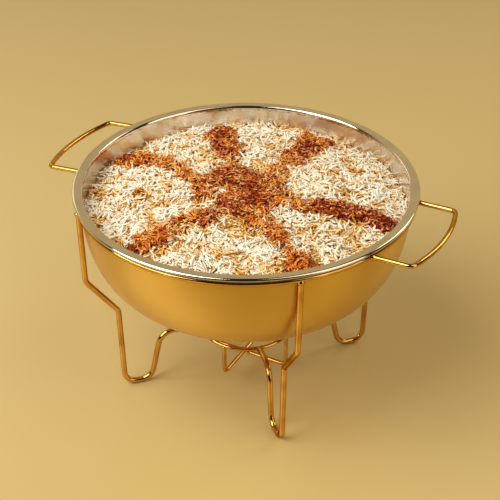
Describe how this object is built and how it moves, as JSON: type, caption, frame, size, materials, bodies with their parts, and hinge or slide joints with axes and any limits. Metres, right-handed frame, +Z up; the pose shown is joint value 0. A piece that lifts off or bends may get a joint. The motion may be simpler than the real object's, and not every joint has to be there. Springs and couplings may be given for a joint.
{
  "type": "bowl of rice with fried onions in a wire stand",
  "caption": "Wide round-bottomed steel bowl, gold outside, heaped with long-grain rice and a star of fried onions, held in a wire stand with two loop handles.",
  "frame": {"origin": "on the floor under the middle of the bowl", "axes": "+X along the two handles, +Z up"},
  "size_m": [0.4434, 0.36, 0.2397],
  "materials": {
    "bowl_gold": "satin gold coat on stainless steel",
    "bowl_steel": "polished stainless steel, inside and flange",
    "wire_gold": "bright gold plate on steel wire",
    "rice": "cooked long-grain rice, white with saffron-tinted grains",
    "fried_onions": "crisp fried onion shreds, orange brown to dark red brown"
  },
  "bodies": {
    "root": {"bowl": "bowl_gold", "rice": "rice", "fried_onions": "fried_onions", "stand_ring": "wire_gold", "burner_ring": "wire_gold", "handle_right": "wire_gold", "handle_left": "wire_gold", "leg_1": "wire_gold", "leg_2": "wire_gold", "leg_3": "wire_gold", "leg_4": "wire_gold", "cradle_lower": "wire_gold", "cradle_upper": "wire_gold"}
  },
  "joints": []
}
